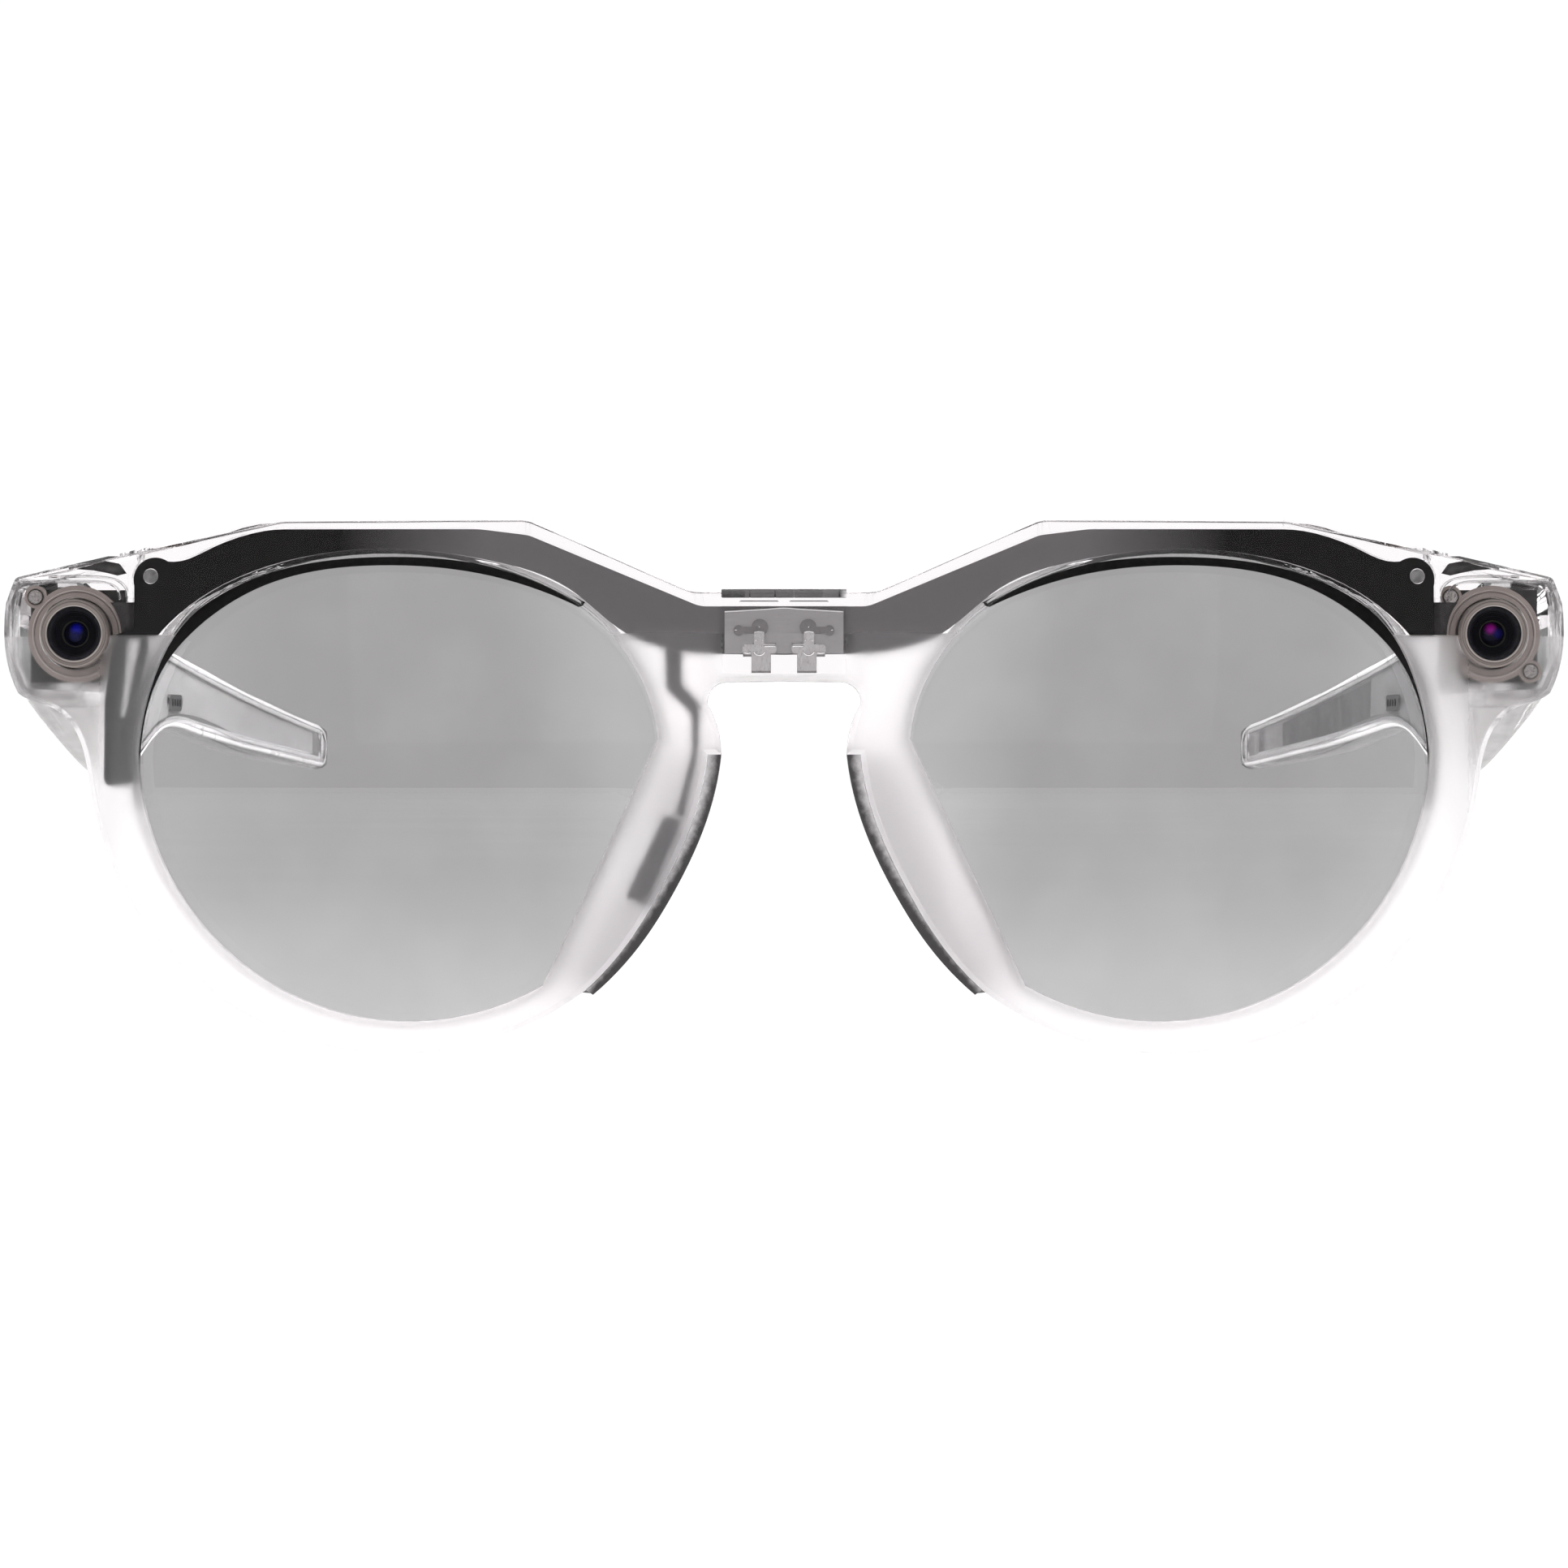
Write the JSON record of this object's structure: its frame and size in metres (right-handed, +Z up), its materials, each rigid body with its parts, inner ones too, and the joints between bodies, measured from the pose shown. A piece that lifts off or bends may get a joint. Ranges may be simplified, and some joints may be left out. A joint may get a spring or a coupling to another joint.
{
  "type": "smart glasses",
  "caption": "Clear camera glasses: faceted front with corner cameras and a brow circuit, tinted lenses, rubber nose pads, folding temples, a capture button and a power slider.",
  "frame": {"origin": "middle of the bounding box at the lowest point of the rims", "axes": "+X towards the wearer's left, +Y from the front back along the open temples, +Z up"},
  "size_m": [0.151, 0.1486, 0.0514],
  "materials": {
    "clear_plastic": "crystal clear moulded plastic, frosted below the brow",
    "temple_cover_plastic": "translucent pale grey plastic",
    "lens_tint": "grey tinted polished polycarbonate lens",
    "lens_seal": "thin black seal",
    "nose_rubber": "soft dark grey silicone",
    "black_flex": "black polyimide circuit",
    "sensor_grey": "dark grey moulded plastic",
    "bridge_plate": "satin grey plate",
    "spring_steel": "stamped spring steel",
    "gold_contact": "gold plated pins",
    "camera_metal": "satin taupe anodised aluminium",
    "screw_steel": "small steel screws",
    "window_glass": "dark coated camera window",
    "blue_lens": "coated lens with blue reflections",
    "violet_lens": "coated lens with violet reflections",
    "camera_black": "dark grey camera body and switch housings",
    "hinge_steel": "satin steel hinge",
    "board_grey": "dark circuit board",
    "battery_foil": "laminated foil cell",
    "light_panel": "light grey shield panel",
    "grey_panel": "mid grey shield panel",
    "vent_steel": "slotted steel vent",
    "button_plastic": "polished translucent button",
    "switch_plastic": "dark grey ribbed slider"
  },
  "bodies": {
    "front": {"board_locating_pins": "clear_plastic", "bridge_led_strip": "black_flex", "bridge_plate": "bridge_plate", "brow_flex_board": "black_flex", "camera_screws": "screw_steel", "charging_pins": "gold_contact", "front_shell": "clear_plastic", "hinge_front_screws": "screw_steel", "left_camera_barrel": "camera_metal", "left_camera_connector": "sensor_grey", "left_camera_lens": "violet_lens", "left_camera_module": "camera_black", "left_camera_mount": "camera_metal", "left_camera_window": "window_glass", "left_contact_spring": "spring_steel", "left_hinge_front_leaf": "hinge_steel", "left_hinge_screw": "screw_steel", "left_lens": "lens_tint", "left_lens_seal": "lens_seal", "left_nose_pad": "nose_rubber", "nose_flex": "black_flex", "nose_sensor": "sensor_grey", "rear_cover": "clear_plastic", "right_antenna_flex": "black_flex", "right_camera_barrel": "camera_metal", "right_camera_connector": "sensor_grey", "right_camera_lens": "blue_lens", "right_camera_module": "camera_black", "right_camera_mount": "camera_metal", "right_camera_window": "window_glass", "right_contact_spring": "spring_steel", "right_hinge_front_leaf": "hinge_steel", "right_hinge_screw": "screw_steel", "right_lens": "lens_tint", "right_lens_seal": "lens_seal", "right_nose_pad": "nose_rubber"},
    "right_temple": {"right_temple_shell": "clear_plastic", "right_temple_cover": "temple_cover_plastic", "right_inner_panel": "light_panel", "right_hinge_temple_leaf": "hinge_steel", "right_temple_leaf_screws": "screw_steel", "right_main_board": "board_grey", "right_battery": "battery_foil", "right_speaker": "sensor_grey", "right_speaker_vent": "vent_steel", "right_touch_strip": "black_flex", "button_switch": "camera_black"},
    "left_temple": {"left_temple_shell": "clear_plastic", "left_temple_cover": "temple_cover_plastic", "left_inner_panel": "grey_panel", "left_hinge_temple_leaf": "hinge_steel", "left_temple_leaf_screws": "screw_steel", "left_main_board": "board_grey", "left_battery": "battery_foil", "left_speaker": "sensor_grey", "left_speaker_vent": "vent_steel", "power_switch_contacts": "camera_black"},
    "capture_button": {"capture_button": "button_plastic"},
    "power_switch": {"power_switch": "switch_plastic"}
  },
  "joints": [
    {"name": "right_temple_fold", "type": "hinge", "parent": "front", "child": "right_temple", "pos_m": [-0.066, -0.05665, 0.03927], "axis": [0, 0, -1], "range_deg": [0, 87]},
    {"name": "left_temple_fold", "type": "hinge", "parent": "front", "child": "left_temple", "pos_m": [0.066, -0.05665, 0.03927], "axis": [0, 0, 1], "range_deg": [0, 80]},
    {"name": "capture_button_press", "type": "slide", "parent": "right_temple", "child": "capture_button", "axis": [0, 0, -1], "range_m": [0, 0.0004], "stiffness_N_per_m": 400},
    {"name": "power_switch_slide", "type": "slide", "parent": "left_temple", "child": "power_switch", "axis": [0, 1, 0], "range_m": [0, 0.002]}
  ]
}
